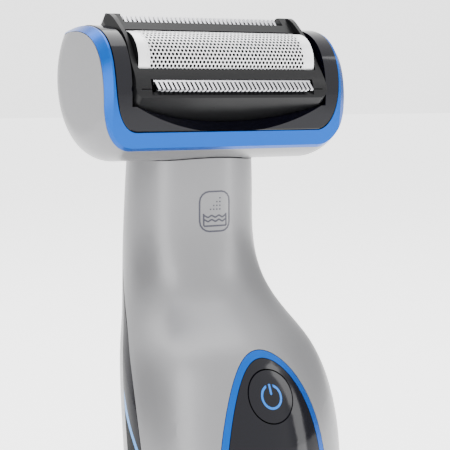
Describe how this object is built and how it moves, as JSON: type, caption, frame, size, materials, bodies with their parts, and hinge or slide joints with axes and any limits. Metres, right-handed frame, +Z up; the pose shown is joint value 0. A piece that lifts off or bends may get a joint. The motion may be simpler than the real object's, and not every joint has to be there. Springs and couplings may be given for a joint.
{
  "type": "body groomer",
  "caption": "Cordless body groomer: swan-neck handle with a push-button panel and a T-shaped head holding an arched shaving foil between two trimmer combs.",
  "frame": {"origin": "centre of the flat base", "axes": "+Z up along the handle, X along the head, control panel towards -Y"},
  "size_m": [0.0556, 0.0471, 0.1794],
  "materials": {
    "silver_shell": "satin silver-grey lacquer",
    "blue_trim": "gloss blue",
    "black_gloss": "high gloss",
    "black_satin": "satin",
    "grip_rubber": "matt soft-touch",
    "foil_steel": "bright etched steel",
    "blade_steel": "ground",
    "inner_plastic": "moulded",
    "board_green": "solder mask",
    "nickel": "nickel plate",
    "cell_wrap": "satin heat-shrink sleeve over a metal can",
    "motor_steel": "zinc plate",
    "symbol_blue": "translucent light guide"
  },
  "bodies": {
    "handle": {"front_shell": "silver_shell", "back_shell": "silver_shell", "shell_screws": "motor_steel", "left_side_inlay": "black_gloss", "left_side_accent": "blue_trim", "left_side_grip": "grip_rubber", "right_side_inlay": "black_gloss", "right_side_accent": "blue_trim", "right_side_grip": "grip_rubber", "panel_ring": "blue_trim", "panel_mount_frame": "inner_plastic", "control_panel": "black_gloss", "charge_light_lens": "symbol_blue", "circuit_board": "board_green", "power_switch": "inner_plastic", "board_components": "inner_plastic", "battery_cell": "cell_wrap", "battery_holder": "inner_plastic", "battery_tab_negative": "nickel", "battery_tab_positive": "nickel", "base_cap": "silver_shell", "charging_socket": "black_satin", "charging_pins": "nickel", "base_seal": "grip_rubber", "motor": "motor_steel", "motor_holder": "inner_plastic", "drive_seal": "grip_rubber", "bridge_guide_rails": "inner_plastic", "head_housing": "silver_shell", "head_trim_ring": "blue_trim", "head_bezel": "black_gloss"},
    "power_button": {"power_button": "black_gloss", "power_symbol_light": "symbol_blue"},
    "motor_rotor": {"motor_shaft": "blade_steel", "eccentric": "inner_plastic"},
    "drive_bridge": {"drive_bridge": "inner_plastic"},
    "cassette": {"cassette_frame": "black_satin", "shaving_foil": "foil_steel", "foil_end_blocks": "black_satin", "front_trimmer_guard": "blade_steel", "rear_trimmer_guard": "blade_steel"},
    "cutters": {"cutter_block": "blade_steel", "cutter_springs": "blade_steel", "cutter_carrier": "inner_plastic", "front_trimmer_blade": "blade_steel", "rear_trimmer_blade": "blade_steel"}
  },
  "joints": [
    {"name": "power_button_press", "type": "slide", "parent": "handle", "child": "power_button", "axis": [0, 1, 0], "range_m": [0, 0.0005], "stiffness_N_per_m": 2500},
    {"name": "motor_spin", "type": "hinge", "parent": "handle", "child": "motor_rotor", "pos_m": [0, 0.0148, 0.145], "axis": [0, 0, 1], "continuous": true},
    {"name": "bridge_stroke", "type": "slide", "parent": "handle", "child": "drive_bridge", "axis": [1, 0, 0], "range_m": [-0.0009, 0.0009]},
    {"name": "cassette_release", "type": "slide", "parent": "handle", "child": "cassette", "axis": [0, -0.6947, 0.7193], "range_m": [0, 0.02]},
    {"name": "cutter_stroke", "type": "slide", "parent": "cassette", "child": "cutters", "axis": [1, 0, 0], "range_m": [-0.0009, 0.0009]}
  ],
  "couplings": [
    {"joint": "cutter_stroke", "follows": "bridge_stroke", "ratio": 1}
  ]
}
